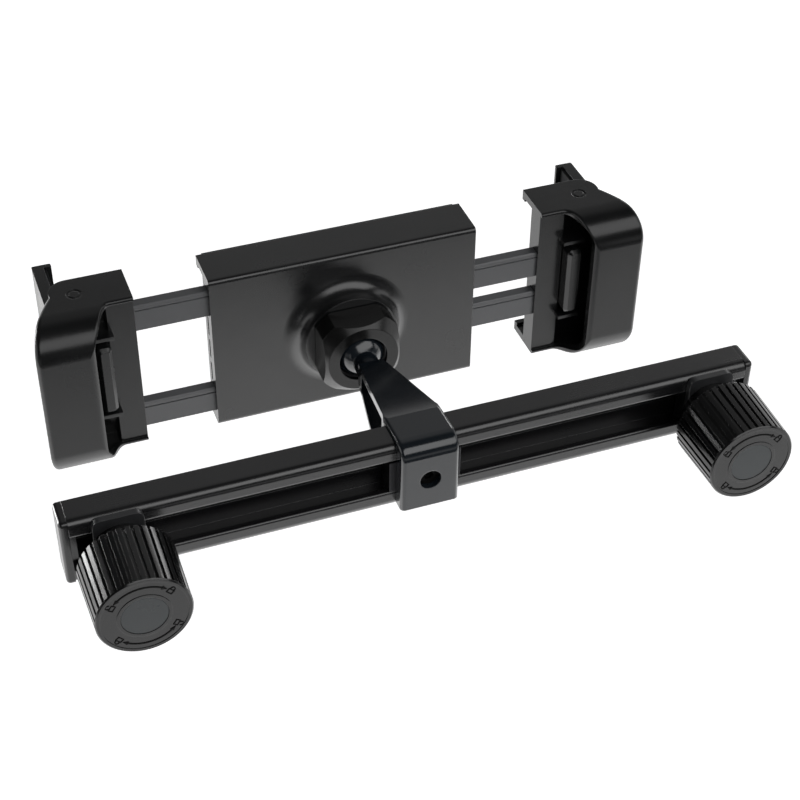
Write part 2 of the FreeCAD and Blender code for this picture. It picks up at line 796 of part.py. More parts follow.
def housing_shell():
    """Channel section with end walls, rail guides, screw posts and the flared ball socket."""
    body = new_body("housing_shell")
    half_length = m.housing_length / 2
    outer = m.housing_height / 2
    inner = outer - m.housing_flange
    section = sketch_on(body, "YZ_Plane")
    upper_half = [
        (housing_near, outer),
        (housing_far, outer),
        (housing_far, outer - m.housing_lip_height),
        (housing_far - m.housing_lip_depth, outer - m.housing_lip_height),
        (housing_far - m.housing_lip_depth, inner),
        (channel_near, inner),
    ]
    draw_polygon(section, mirrored(upper_half))
    pad(body, section, m.housing_length, both_ways=True)

    def long_near_edge(edge):
        return (along(edge, 0) and near(edge.Vertexes[0].Y, housing_near)
                and near(abs(edge.Vertexes[0].Z), outer))

    dress(body, "Fillet", long_near_edge, m.housing_round)

    for sign in (-1, 1):
        wall = sketch_on(body, "YZ_Plane", sign * half_length)
        draw_rectangle(wall, channel_near, -inner, plate_face, inner)
        pad(body, wall, m.housing_end_wall, reverse=sign > 0)

    guides = sketch_on(body, "YZ_Plane")
    gap = m.slide_gap
    half_rail = m.rail_height / 2
    for sign in (-1, 1):
        for edge in (outer_rail_place + half_rail + gap,
                     outer_rail_place - half_rail - gap - m.rib_thickness,
                     m.inner_rail_place - half_rail - gap - m.rib_thickness):
            low = sign * edge
            high = sign * (edge + m.rib_thickness)
            draw_rectangle(guides, channel_near, low, plate_face, high)
    pad(body, guides, m.housing_length - m.housing_end_wall * 2, both_ways=True)

    posts = sketch_on(body, "XZ_Plane", -channel_near)
    for step in POST_STEPS:
        draw_circle(posts, m.post_spacing * step, 0, m.post_radius)
    pad(body, posts, plate_face - channel_near, reverse=True)

    sleeve = sketch_on(body, "XY_Plane")
    boss_start = nut_end + m.slide_gap
    foot = housing_near + m.housing_wall / 2
    draw_polygon(sleeve, [
        (0, m.ball_centre - m.sleeve_setback),
        (m.sleeve_radius, m.ball_centre - m.sleeve_setback),
        (m.sleeve_radius, boss_start),
        (m.boss_top_radius, boss_start),
        (m.boss_top_radius, foot),
        (0, foot),
    ])
    revolve(body, sleeve, "V_Axis")

    def boss_foot(edge):
        circle = isinstance(edge.Curve, Part.Circle)
        return (circle and near(edge.Curve.Radius, m.boss_top_radius)
                and near(edge.CenterOfMass.y, housing_near))

    dress(body, "Fillet", boss_foot, m.boss_flare)

    socket = sketch_on(body, "XY_Plane")
    draw_half_disc(socket, m.ball_centre, cavity_radius)
    turn_out(body, socket)

    windows(body, -1, outer_rail_place)
    windows(body, 1, m.inner_rail_place)
    slots = sketch_on(body, "YZ_Plane", -half_length)
    far = plate_face - m.end_slot_inset
    for step in (-1, 0, 1):
        middle = m.end_slot_pitch * step
        draw_rectangle(slots, far - m.end_slot_width, middle - m.end_slot_height / 2,
                       far, middle + m.end_slot_height / 2)
    pocket(body, slots, m.housing_end_wall, reverse=True)
    pilots = sketch_on(body, "XZ_Plane", -plate_face)
    for step in POST_STEPS:
        draw_circle(pilots, m.post_spacing * step, 0, m.pilot_radius)
    pocket(body, pilots, plate_face - channel_near - m.pilot_floor, reverse=True)


def draw_half_disc(sketch, centre, radius):
    """Half a disc beside the vertical axis, for a sphere."""
    reach = float(radius)
    middle = vector(0, centre, 0)
    arc = Part.ArcOfCircle(Part.Circle(middle, Vector(0, 0, 1), reach), -math.pi / 2, math.pi / 2)
    bow = sketch.addGeometry(arc, False)
    low = vector(0, centre - radius, 0)
    high = vector(0, centre + radius, 0)
    chord = sketch.addGeometry(Part.LineSegment(high, low), False)
    sketch.addConstraint(Sketcher.Constraint("Coincident", bow, 2, chord, 1))
    sketch.addConstraint(Sketcher.Constraint("Coincident", chord, 2, bow, 1))
    sketch.addConstraint(Sketcher.Constraint("PointOnObject", chord, 1, -2))
    sketch.addConstraint(Sketcher.Constraint("PointOnObject", bow, 3, -2))
    pin(sketch, "DistanceY", bow, 3, centre)
    index = sketch.addConstraint(Sketcher.Constraint("Radius", bow, reach))
    sketch.setExpression(f"Constraints[{index}]", radius.formula)
    sketch.addConstraint(Sketcher.Constraint("PointOnObject", chord, 2, -2))


def turn_out(body, sketch):
    """Cuts a full turn of the sketch about its vertical axis."""
    before = body.Shape.Volume
    feature = body.newObject("PartDesign::Groove", "Groove")
    feature.Profile = sketch
    feature.ReferenceAxis = (sketch, ["V_Axis"])
    feature.Angle = 360
    doc.recompute()
    if feature.Shape.Volume >= before:
        raise ValueError(f"a turned groove of {body.Label} cuts nothing")
    return feature


def windows(body, sign, place):
    """Openings for a pair of rails in one end wall."""
    half = m.rail_height / 2 + m.slide_gap
    sketch = sketch_on(body, "YZ_Plane", sign * m.housing_length / 2)
    for level in (-place, place):
        draw_rectangle(sketch, channel_near, level - half, plate_face, level + half)
    pocket(body, sketch, m.housing_end_wall, reverse=sign < 0)


def back_plate():
    """Plate that closes the rail channels, with pockets for the friction pads."""
    body = new_body("back_plate")
    half_length = m.housing_length / 2
    half_height = m.housing_height / 2 - m.housing_flange - m.plate_gap
    sketch = sketch_on(body, "XZ_Plane", -plate_face)
    draw_rectangle(sketch, -half_length, -half_height, half_length, half_height)
    for step in POST_STEPS:
        draw_circle(sketch, m.post_spacing * step, 0, m.screw_radius + m.thread_gap)
    pad(body, sketch, m.back_plate_thickness, reverse=True)
    nests = sketch_on(body, "XZ_Plane", -plate_face)
    for x, z in brake_places():
        half_x = m.brake_length / 2
        half_z = m.brake_height / 2
        draw_rectangle(nests, x - half_x, z - half_z, x + half_x, z + half_z)
    pocket(body, nests, m.brake_thickness - m.face_gap)


def brake_places():
    """Centres of the friction pads, one on each rail near the end wall that it leaves by."""
    out = m.housing_length / 2 - m.housing_end_wall - m.brake_length / 2 - m.pad_inset
    return [(-out, outer_rail_place), (-out, -outer_rail_place),
            (out, m.inner_rail_place), (out, -m.inner_rail_place)]


def rail_brakes():
    """Friction pads in the back plate's pockets."""
    pads = []
    start = plate_face - m.face_gap
    for x, z in brake_places():
        half_x = m.brake_length / 2
        half_z = m.brake_height / 2
        pads.append(box((x - half_x, x + half_x), (start, start + m.brake_thickness),
                        (z - half_z, z + half_z)))
    keep("rail_brakes", fuse(*pads))


def plate_screws():
    """Screws from the back plate into the posts."""
    start = plate_face + m.back_plate_thickness
    screws = [small_screw(m.post_spacing * step, start, 0) for step in POST_STEPS]
    keep("plate_screws", fuse(*screws))


def small_screw(x, seat, z, length=None):
    """Pan head on the seat, shank towards the knobs' side."""
    reach = length or m.screw_length
    head = cylinder_y(m.screw_head_radius, seat, seat + m.screw_head_height, x, z)
    shank = cylinder_y(m.screw_radius, seat - reach, seat, x, z)
    return fuse(head, shank)


def tablet_pad(level, sign):
    """Soft strip on the housing's lip."""
    half_length = m.housing_length / 2 - m.pad_inset
    middle = sign * (m.housing_height / 2 - m.housing_lip_height / 2)
    half = m.pad_width / 2
    strip = box((-half_length, half_length), (housing_far, housing_far + m.pad_thickness),
                (middle - half, middle + half))
    keep(f"tablet_pad_{level}", strip)


def rail_place(side, level):
    place = {"left": outer_rail_place, "right": m.inner_rail_place}[side]
    return {"upper": place, "lower": -place}[level]


def rail(side, level):
    """Flat bar with a fine groove and a chamfer along its near face."""
    sign = SIDES[side]
    middle = rail_place(side, level)
    body = new_body(f"rail_{level}_{side}")
    start = sign * (m.jaw_inner_face + m.rail_in_jaw)
    sketch = sketch_on(body, "YZ_Plane", start)
    top = middle + m.rail_height / 2
    bottom = middle - m.rail_height / 2
    groove = top - m.rail_groove_place
    draw_polygon(sketch, [
        (rail_near, bottom),
        (rail_far, bottom),
        (rail_far, top),
        (rail_near + m.rail_chamfer, top),
        (rail_near, top - m.rail_chamfer),
        (rail_near, groove),
        (rail_near + m.rail_groove_depth, groove),
        (rail_near + m.rail_groove_depth, groove - m.rail_groove_width),
        (rail_near, groove - m.rail_groove_width),
    ])
    pad(body, sketch, m.rail_length, reverse=sign > 0)
    hole = sketch_on(body, "XZ_Plane", -rail_far)
    draw_circle(hole, rail_screw_x(side), middle, m.screw_radius + m.thread_gap)
    pocket(body, hole, m.rail_thickness, reverse=True)
    put(body, jaw_shift(side))


def rail_screw_x(side):
    return SIDES[side] * (m.jaw_inner_face + m.rail_in_jaw / 2)


def jaw_shift(side):
    """How far a jaw and its pieces stand out beyond the place where they are drawn."""
    return {"left": -m.left_jaw_extra, "right": 0}[side]


def jaw_shell(side):
    """Moulded jaw: plan outline and side outline crossed, hollowed, then opened beside the strip."""
    half = m.housing_height / 2
    outside = m.jaw_inner_face - 1
    block = rounded_block()
    room = slab((strip_end, m.cover_end), (cover_near, jaw_floor), half)
    shell = block.cut(jaw_block(m.jaw_wall).common(room))

    opening = slab((outside, m.cover_edge), (cover_near - 1, jaw_floor), half - m.jaw_bead)
    opening = opening.makeFillet(float(m.mouth_round), [
        edge for edge in opening.Edges if along(edge, 1) and edge.CenterOfMass.x > float(strip_end)
    ])
    strip = slab((outside - 1, strip_end), (housing_near + m.strip_recess, jaw_floor + 1), half)
    shell = shell.cut(opening.cut(strip))

    back = jaw_floor + m.jaw_floor_thickness
    seat_start = hook_inner - m.hook_seat_gap
    recess = slab((outside, seat_start), (back, jaw_far - m.jaw_lip_depth), half - m.housing_flange)
    throat = slab((outside, seat_start), (back, jaw_far + 1), half - m.jaw_lip_height)
    seat = slab((seat_start - 1, m.cover_end), (back, jaw_far + 1), m.hook_half_height + m.hook_gap)
    shell = shell.cut([recess, throat, seat])
    shell = shell.fuse(latch()).cut(jaw_holes(side) + [ring_mark()]).removeSplitter()
    if side == "left":
        shell = shell.mirror(Vector(0, 0, 0), Vector(1, 0, 0))
    put(shape_part(f"jaw_shell_{side}", shell), jaw_shift(side))


def latch():
    """Chamfered block beside the strip with a web above it and one below it."""
    start = strip_end + m.latch_gap
    top_face = jaw_floor - m.latch_depth
    half = m.latch_height / 2
    block = slab((start, start + m.latch_width), (top_face, jaw_floor), half)
    block = block.makeFillet(float(m.latch_end_round), [edge for edge in block.Edges if along(edge, 1)])
    block = block.makeChamfer(float(m.latch_chamfer), [
        edge for edge in block.Edges if near(edge.BoundBox.YMax, top_face)
    ])
    pieces = [block]
    for sign in (-1, 1):
        web = slab((strip_end - 1, m.cover_edge), (jaw_floor - m.web_depth, jaw_floor), m.rib_thickness / 2)
        web.translate(vector(0, 0, sign * (half + m.web_gap)))
        pieces.append(web)
    latch_shape = pieces[0].fuse(pieces[1:])
    latch_shape.translate(vector(0, 0, m.latch_centre))
    return latch_shape


def ring_mark():
    """Plain ring engraved in the jaw's top."""
    floor = m.housing_height / 2 - m.mark_depth
    centre = vector(m.cover_edge + m.jaw_wall, jaw_far - m.mark_setback, floor)
    up = Vector(0, 0, 1)
    disc = Part.makeCylinder(float(m.mark_outer_radius), float(m.mark_depth) * 2, centre, up)
    island = Part.makeCylinder(float(m.mark_inner_radius), float(m.mark_depth) * 2, centre, up)
    return disc.cut(island)


def jaw_holes(side):
    """Pockets for the rails and holes for the screws of the rails and the hook."""
    tools = []
    hole = m.screw_radius + m.thread_gap
    for level in ("upper", "lower"):
        middle = rail_place(side, level)
        nest = slab((m.jaw_inner_face - 1, m.jaw_inner_face + m.rail_in_jaw), (rail_near, rail_far),
                    m.rail_height / 2)
        nest.translate(vector(0, 0, middle))
        tools.append(nest)
        tools.append(rod_y(hole, rail_near, jaw_far, SIDES[side] * rail_screw_x(side), middle))
    for level in hook_screw_levels():
        tools.append(rod_y(hole, jaw_floor - m.jaw_floor_thickness, jaw_far, hook_screw_x(), level))
    return tools


def jaw_block(inset):
    """Plan and side outlines crossed, both drawn in by the inset."""
    reach = float(m.cover_end)
    block = jaw_plan(inset).extrude(Vector(0, 0, reach * 2))
    block.translate(Vector(0, 0, -reach))
    return block.common(jaw_side(inset).extrude(Vector(reach, 0, 0)))


def rounded_block():
    """The jaw's full outline with its outer end and the rim along strip and S-curve rounded."""
    block = jaw_block(0)
    middle = (m.cover_edge + m.cover_end) / 2
    bend_end = cover_near + m.cover_round
    block = block.makeFillet(float(m.cover_end_round), [
        edge for edge in block.Edges
        if edge.CenterOfMass.x > float(middle) and reaches(edge, bend_end) and not along(edge, 0)
    ])
    bend_start = m.housing_height / 2 - m.cover_round
    return block.makeFillet(float(m.jaw_edge_round), [
        edge for edge in block.Edges
        if edge.BoundBox.XMax < float(middle) and edge.BoundBox.XLength > float(m.strip_recess)
        and reaches(edge, housing_near) and abs(edge.CenterOfMass.z) > float(bend_start) + 1
    ])


def reaches(edge, level):
    """True for an edge that lies on the near side of the level."""
    return edge.BoundBox.YMax < float(level) + 0.01


def jaw_plan(inset):
    """Outline of the jaw seen from above: strip, S-curve to the cover, flared outer wall."""
    inner = m.jaw_inner_face + inset
    strip_face = housing_near + inset
    cover_face = cover_near + inset
    end = m.cover_end - inset
    tail = m.jaw_tail_end - inset
    far = jaw_far - inset
    corner = m.jaw_corner
    share = 1 - math.sqrt(0.5)
    sweep_start = strip_end - m.sweep_start + inset * 0.6
    sweep_end = sweep_start + m.sweep_length
    curve = Part.BezierCurve()
    curve.setPoles([
        vector(sweep_start, strip_face, 0),
        vector(sweep_start + m.sweep_lead, strip_face, 0),
        vector(sweep_end - m.sweep_lead, cover_face, 0),
        vector(sweep_end, cover_face, 0),
    ])
    outer_low = vector(end, cover_face, 0)
    outer_high = vector(tail, far - corner, 0)
    wall = (outer_high - outer_low).normalize()
    bulge = (outer_low + outer_high) * 0.5 + Vector(wall.y, -wall.x, 0) * float(m.cover_end_bulge)
    corner_middle = vector(tail - corner * share, far - corner * share, 0)
    corner_end = vector(tail - corner, far, 0)
    inner_near = vector(inner, strip_face, 0)
    inner_far = vector(inner, far, 0)
    edges = [
        Part.LineSegment(inner_near, vector(sweep_start, strip_face, 0)).toShape(),
        curve.toShape(),
        Part.LineSegment(vector(sweep_end, cover_face, 0), outer_low).toShape(),
        Part.Arc(outer_low, bulge, outer_high).toShape(),
        Part.Arc(outer_high, corner_middle, corner_end).toShape(),
        Part.LineSegment(corner_end, inner_far).toShape(),
        Part.LineSegment(inner_far, inner_near).toShape(),
    ]
    return Part.Face(Part.Wire(edges))


def jaw_side(inset):
    """Outline of the jaw seen from its end: the near corners are rounded."""
    near_face = cover_near + inset
    half = m.housing_height / 2 - inset
    bend = m.cover_round - inset
    share = 1 - math.sqrt(0.5)
    corners = [
        vector(0, near_face, bend - half),
        vector(0, near_face, half - bend),
        vector(0, near_face + bend, half),
        vector(0, jaw_far, half),
        vector(0, jaw_far, -half),
        vector(0, near_face + bend, -half),
    ]
    upper_middle = vector(0, near_face + bend * share, half - bend * share)
    lower_middle = vector(0, near_face + bend * share, bend * share - half)
    edges = [
        Part.LineSegment(corners[0], corners[1]).toShape(),
        Part.Arc(corners[1], upper_middle, corners[2]).toShape(),
        Part.LineSegment(corners[2], corners[3]).toShape(),
        Part.LineSegment(corners[3], corners[4]).toShape(),
        Part.LineSegment(corners[4], corners[5]).toShape(),
        Part.Arc(corners[5], lower_middle, corners[0]).toShape(),
    ]
    return Part.Face(Part.Wire(edges))


def hook_screw_x():
    return hook_inner - m.hook_foot_length / 2


def hook_screw_levels():
    reach = m.hook_half_height - m.hook_screw_inset
    return (-reach, reach)


def hook(side):
    """Bracket with a foot on the jaw's floor and a lip over the tablet."""
    sign = SIDES[side]
    body = new_body(f"hook_{side}")
    foot_near = jaw_floor + m.jaw_floor_thickness
    inner = hook_inner
    sketch = sketch_on(body, "XY_Plane")
    outline = [
        (inner - m.hook_foot_length, foot_near),
        (m.hook_outer, foot_near),
        (m.hook_outer, hook_reach),
        (inner - m.hook_lip, hook_reach),
        (inner - m.hook_lip, hook_reach - m.hook_lip_thickness),
        (inner, hook_reach - m.hook_lip_thickness),
        (inner, foot_near + m.hook_foot_thickness),
        (inner - m.hook_foot_length, foot_near + m.hook_foot_thickness),
    ]
    draw_polygon(sketch, [(sign * x, y) for x, y in outline])
    pad(body, sketch, m.hook_half_height * 2, both_ways=True)

    def outer_corner(edge):
        return (along(edge, 2) and near(edge.Vertexes[0].Y, hook_reach))

    dress(body, "Fillet", outer_corner, m.hook_edge_round)
    holes = sketch_on(body, "XZ_Plane", -(foot_near + m.hook_foot_thickness))
    for level in hook_screw_levels():
        draw_circle(holes, sign * hook_screw_x(), level, m.screw_radius + m.thread_gap)
    pocket(body, holes, m.hook_foot_thickness, reverse=True)
    put(body, jaw_shift(side))


def hook_pad(side):
    """Soft liner on the hook's inner face."""
    face = SIDES[side] * hook_inner + jaw_shift(side)
    spans = {"left": (face, face + m.liner_thickness), "right": (face - m.liner_thickness, face)}
    start = jaw_far + m.hook_gap
    end = hook_reach - m.hook_lip_thickness - m.slide_gap
    half = m.hook_half_height - m.liner_thickness
    keep(f"hook_pad_{side}", box(spans[side], (start, end), (-half, half)))


def jaw_screws(side):
    """Screws of the rails and of the hook, all driven from the jaw's far side."""
    sign = SIDES[side]
    floor_far = jaw_floor + m.jaw_floor_thickness
    rails = [small_screw(rail_screw_x(side), floor_far, rail_place(side, level), m.screw_length)
             for level in ("upper", "lower")]
    put(keep(f"rail_screws_{side}", fuse(*rails)), jaw_shift(side))
    hook_far = floor_far + m.hook_foot_thickness
    hooks = [small_screw(sign * hook_screw_x(), hook_far, level, m.screw_length - 1)
             for level in hook_screw_levels()]
    put(keep(f"hook_screws_{side}", fuse(*hooks)), jaw_shift(side))


rail_bar()
arm()
arm_screw()
arm_key()
ball_seat("ball_seat_front", m.front_seat_start, m.front_seat_end)
ball_seat("ball_seat_rear", m.rear_seat_start, m.rear_seat_end)
ball_nut()
housing_shell()
back_plate()
rail_brakes()
plate_screws()
tablet_pad("upper", 1)
tablet_pad("lower", -1)
for side in SIDES:
    end_cap(side)
    slot_bolt(side)
    guard_plate(side)
    knob(side)
    knob_disc(side)
    grip_washer(side)
    for level in ("upper", "lower"):
        rail(side, level)
    jaw_shell(side)
    hook(side)
    hook_pad(side)
    jaw_screws(side)

doc.recompute()
for item in doc.Objects:
    if "Invalid" in item.State or "Error" in item.State:
        raise ValueError(f"{item.Label} failed: {item.State}")
for label, item in PARTS.items():
    if item.Shape.isNull() or not item.Shape.isValid():
        raise ValueError(f"{label} has no valid shape")

os.makedirs("parts", exist_ok=True)
for label, item in PARTS.items():
    item.Shape.exportStep(f"parts/{label}.step")
    print(f"{label}: {len(item.Shape.Solids)} solids, {item.Shape.Volume:.1f} mm3")
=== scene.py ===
# %% [markdown]
# # A headrest tablet mount in black plastic and black metal
# The real mount hangs behind a car seat. A slotted bar is clamped to the two posts of a headrest,
# an arm with a ball stands on the bar, and two hooked jaws on flat rails hold a tablet.
# Its rigid pieces come ready made from the CAD model, so this lesson is about what the eye sees:
# how black surfaces differ by gloss and grain, how lamps draw edges, and the marks on the knobs.

# %% Load the solids
import math

import bpy
from mathutils import Matrix, Vector


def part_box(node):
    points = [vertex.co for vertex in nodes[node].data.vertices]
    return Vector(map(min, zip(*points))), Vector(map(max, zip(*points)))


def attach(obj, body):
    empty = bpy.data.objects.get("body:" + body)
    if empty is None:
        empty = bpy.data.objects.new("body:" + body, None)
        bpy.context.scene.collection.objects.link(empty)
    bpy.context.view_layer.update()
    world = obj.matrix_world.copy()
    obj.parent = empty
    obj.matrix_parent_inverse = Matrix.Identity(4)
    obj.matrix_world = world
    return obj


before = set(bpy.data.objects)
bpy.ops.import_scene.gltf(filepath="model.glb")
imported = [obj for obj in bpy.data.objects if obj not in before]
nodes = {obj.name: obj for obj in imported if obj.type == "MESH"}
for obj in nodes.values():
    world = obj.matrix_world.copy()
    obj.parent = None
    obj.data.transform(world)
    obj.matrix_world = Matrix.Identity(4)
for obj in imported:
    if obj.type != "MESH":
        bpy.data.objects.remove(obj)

scene = bpy.context.scene
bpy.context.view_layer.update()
MM = 0.001

# %% [markdown]
# ## Small helpers for shader trees
# A shader tree is a handful of nodes with their sockets set or wired. Clicking them together is
# quick by hand, but in a script the same three lines come back again and again, so two helpers
# hold them: one sets or wires a socket, and one adds a node with its settings and sockets.

# %% Helpers that add and wire shader nodes
def feed(tree, socket, value):
    """Wires an output to the socket, or sets the socket to a plain value."""
    if isinstance(value, bpy.types.NodeSocket):
        tree.links.new(value, socket)
    else:
        socket.default_value = value


def add(tree, kind, settings=None, sockets=None):
    """Adds one shader node; sockets are named, or numbered where names repeat."""
    node = tree.nodes.new("ShaderNode" + kind)
    for name, value in (settings or {}).items():
        setattr(node, name, value)
    for name, value in (sockets or {}).items():
        feed(tree, node.inputs[name], value)
    return node


def sum_up(tree, operation, first, second=0.0, third=0.0):
    """One step of arithmetic on values."""
    node = add(tree, "Math", {"operation": operation}, {0: first, 1: second})
    if operation in ("MULTIPLY_ADD", "COMPARE"):
        feed(tree, node.inputs[2], third)
    return node.outputs[0]


def remap(tree, value, low, high, new_low, new_high):
    """Stretches a range of values to another one and clamps it there."""
    node = add(tree, "MapRange", {"clamp": True},
               {0: value, 1: low, 2: high, 3: new_low, 4: new_high})
    return node.outputs[0]


def blend_colours(tree, mask, first, second):
    """Goes from the first colour to the second as the mask goes from 0 to 1."""
    node = add(tree, "Mix", {"data_type": "RGBA"}, {0: mask, 6: first, 7: second})
    return node.outputs[2]


def new_group(name, inputs, outputs):
    """A node group with its sockets, and its two end nodes."""
    group = bpy.data.node_groups.new(name, "ShaderNodeTree")
    for title, kind, value in inputs:
        socket = group.interface.new_socket(name=title, in_out="INPUT",
                                            socket_type="NodeSocket" + kind)
        socket.default_value = value
    for title, kind in outputs:
        group.interface.new_socket(name=title, in_out="OUTPUT", socket_type="NodeSocket" + kind)
    start = group.nodes.new("NodeGroupInput")
    end = group.nodes.new("NodeGroupOutput")
    return group, start, end


def place_group(tree, group, sockets):
    """Puts a node group into a material's tree with this material's own values."""
    node = tree.nodes.new("ShaderNodeGroup")
    node.node_tree = group
    for name, value in sockets.items():
        feed(tree, node.inputs[name], value)
    return node


print("helpers ready")

# %% [markdown]
# ## Softened edges
# No moulded or drawn edge is perfectly sharp: a few tenths of a millimetre of rounding catch a
# line of light, and that line is most of what shows a black object's shape. Bevelling every edge
# of every solid would change the CAD meshes. The Bevel shader node turns only the surface's normal
# near an edge, and comparing that normal with the true one also gives a mask of where edges are.

# %% Node group: softened edges
edge_group, start, end = new_group(
    "softened_edges", [("Width", "Float", 0.0003), ("Reach", "Float", 6.0)],
    [("Normal", "Vector"), ("Edge", "Float")])
rounding = add(edge_group, "Bevel", {"samples": 6}, {"Radius": start.outputs["Width"]})
true_normal = add(edge_group, "NewGeometry")
match = add(edge_group, "VectorMath", {"operation": "DOT_PRODUCT"},
            {0: rounding.outputs[0], 1: true_normal.outputs["Normal"]})
turned_away = sum_up(edge_group, "SUBTRACT", 1.0, match.outputs["Value"])
edge_mask = add(edge_group, "Math", {"operation": "MULTIPLY", "use_clamp": True},
                {0: turned_away, 1: start.outputs["Reach"]})
feed(edge_group, end.inputs["Normal"], rounding.outputs[0])
feed(edge_group, end.inputs["Edge"], edge_mask.outputs[0])
print("group:", edge_group.name)

# %% [markdown]
# ## Grain of a spark-eroded mould
# Satin black plastic gets its soft look from the mould, which is eroded by sparks to a skin of
# tiny rounded pits. A fine noise alone looks like sand, so it is mixed with cells, whose rounded
# bumps sit side by side as the pits do. The result is a height, which each material scales.

# %% Node group: mould grain
SAND_SCALE = 1.9
PIT_SHARE = 0.8

grain_group, start, end = new_group(
    "mould_grain", [("Scale", "Float", 2600.0)], [("Height", "Float")])
where = add(grain_group, "TexCoord")
pits = add(grain_group, "TexVoronoi", {"feature": "SMOOTH_F1"},
           {"Vector": where.outputs["Object"], "Scale": start.outputs["Scale"], "Smoothness": 0.6})
finer = sum_up(grain_group, "MULTIPLY", start.outputs["Scale"], SAND_SCALE)
sand = add(grain_group, "TexNoise", None,
           {"Vector": where.outputs["Object"], "Scale": finer, "Detail": 3.0, "Roughness": 0.6})
height = sum_up(grain_group, "MULTIPLY_ADD", pits.outputs["Distance"], PIT_SHARE,
                sand.outputs[0])
feed(grain_group, end.inputs["Height"], height)
print("group:", grain_group.name)

# %% [markdown]
# ## Uneven gloss
# A moulding cools unevenly and is handled, so its gloss and tone drift a little over a few
# centimetres. Two noises of different size, added and stretched, give a slow cloudy mask. It is
# kept faint in every finish, because this mount is new and clean.

# %% Node group: cloudy patches
FINE_SCALE = 7.0
FINE_SHARE = 0.35
CLOUD_LOW, CLOUD_HIGH = 0.45, 0.9

cloud_group, start, end = new_group(
    "cloudy_patches", [("Scale", "Float", 30.0)], [("Mask", "Float")])
where = add(cloud_group, "TexCoord")
broad = add(cloud_group, "TexNoise", None,
            {"Vector": where.outputs["Object"], "Scale": start.outputs["Scale"], "Detail": 2.0})
smaller = sum_up(cloud_group, "MULTIPLY", start.outputs["Scale"], FINE_SCALE)
fine = add(cloud_group, "TexNoise", None,
           {"Vector": where.outputs["Object"], "Scale": smaller, "Detail": 4.0})
both = sum_up(cloud_group, "MULTIPLY_ADD", fine.outputs[0], FINE_SHARE, broad.outputs[0])
feed(cloud_group, end.inputs["Mask"], remap(cloud_group, both, CLOUD_LOW, CLOUD_HIGH, 0.0, 1.0))
print("group:", cloud_group.name)

# %% [markdown]
# ## Drawing lines
# The bar and the rails are pushed through a die, which leaves very fine lines along their length.
# A noise whose coordinates are squeezed along X does this: it changes fast across the piece and
# slowly along it. The same mask is used for height and for gloss.

# %% Node group: drawn lines
line_group, start, end = new_group(
    "drawn_lines", [("Scale", "Float", 2400.0), ("Stretch", "Float", 0.012)], [("Lines", "Float")])
where = add(line_group, "TexCoord")
apart = add(line_group, "SeparateXYZ", None, {0: where.outputs["Object"]})
along = sum_up(line_group, "MULTIPLY", apart.outputs[0], start.outputs["Stretch"])
squeezed = add(line_group, "CombineXYZ", None, {0: along, 1: apart.outputs[1], 2: apart.outputs[2]})
streaks = add(line_group, "TexNoise", None,
              {"Vector": squeezed.outputs[0], "Scale": start.outputs["Scale"],
               "Detail": 3.0, "Roughness": 0.7})
feed(line_group, end.inputs["Lines"], streaks.outputs[0])
print("group:", line_group.name)

# %% [markdown]
# ## A recipe for a black finish
# All the finishes here are built the same way: a dark colour that drifts a little and pales on
# the edges, a gloss that drifts with it, and a fine height for the grain. One function holds the
# recipe and each finish has its own measures. Values that are the same all over, such as the
# specular level, are set on the shader itself, where an export keeps them.

# %% Function: black finish
TONE_DRIFT = 0.1
# How far the edges pale towards the lighter edge colour: a painted highlight along the rounded
# edges.
EDGE_HIGHLIGHT_SHARE = 0.6
CLOUD_SCALE = 30.0
COAT_ROUGHNESS = 0.12


def shade(colour, factor):
    """The colour made lighter or darker, with its alpha."""
    return tuple(min(1.0, c * factor) for c in colour[:3]) + (1.0,)


def dented(tree, height, depth, normal):
    """Tilts the normal as a height of so many metres would."""
    bump = add(tree, "Bump", None,
               {"Strength": 1.0, "Distance": depth, "Height": height, "Normal": normal})
    return bump.outputs[0]


def black_finish(name, colour, roughness, specular, grain=0.0, grain_scale=2600.0, lines=0.0,
                 metallic=0.0, coat=0.0, edge_width=0.0003, edge_light=1.35, drift=0.08):
    """A finished material; grain and lines are heights in metres."""
    material = bpy.data.materials.new(name)
    material.use_nodes = True
    tree = material.node_tree
    shader = tree.nodes["Principled BSDF"]
    edges = place_group(tree, edge_group, {"Width": edge_width})
    clouds = place_group(tree, cloud_group, {"Scale": CLOUD_SCALE})
    tone = blend_colours(tree, clouds.outputs["Mask"],
                         shade(colour, 1 - TONE_DRIFT), shade(colour, 1 + TONE_DRIFT))
    # Painted highlight: the colour pales along the edge mask, where the rounded edges would catch a
    # line of light.
    painted_edge_highlight = sum_up(tree, "MULTIPLY", edges.outputs["Edge"], EDGE_HIGHLIGHT_SHARE)
    paled = blend_colours(tree, painted_edge_highlight, tone, shade(colour, edge_light))
    feed(tree, shader.inputs["Base Color"], paled)
    gloss = remap(tree, clouds.outputs["Mask"], 0.0, 1.0,
                  roughness - drift / 2, roughness + drift / 2)
    normal = edges.outputs["Normal"]
    if lines:
        drawn = place_group(tree, line_group, {})
        gloss = sum_up(tree, "MULTIPLY_ADD", drawn.outputs["Lines"], drift, gloss)
        normal = dented(tree, drawn.outputs["Lines"], lines, normal)
    if grain:
        pitted = place_group(tree, grain_group, {"Scale": grain_scale})
        normal = dented(tree, pitted.outputs["Height"], grain, normal)
    feed(tree, shader.inputs["Roughness"], gloss)
    feed(tree, shader.inputs["Normal"], normal)
    shader.inputs["Metallic"].default_value = metallic
    shader.inputs["Specular IOR Level"].default_value = specular
    shader.inputs["Coat Weight"].default_value = coat
    shader.inputs["Coat Roughness"].default_value = COAT_ROUGHNESS
    return material


print("recipe ready")

# %% [markdown]
# ## Finishes
# The housing, jaws and hooks are satin mouldings, and the plates behind the knobs are greyer. The
# arm, nut and knobs are smoother and show soft reflections; the arm leans to blue. The bar is
# drawn and black, the rails are drawn and paler. Screws are blackened steel, the pads are rubber,
# and the discs in the knobs are a cool slate grey.

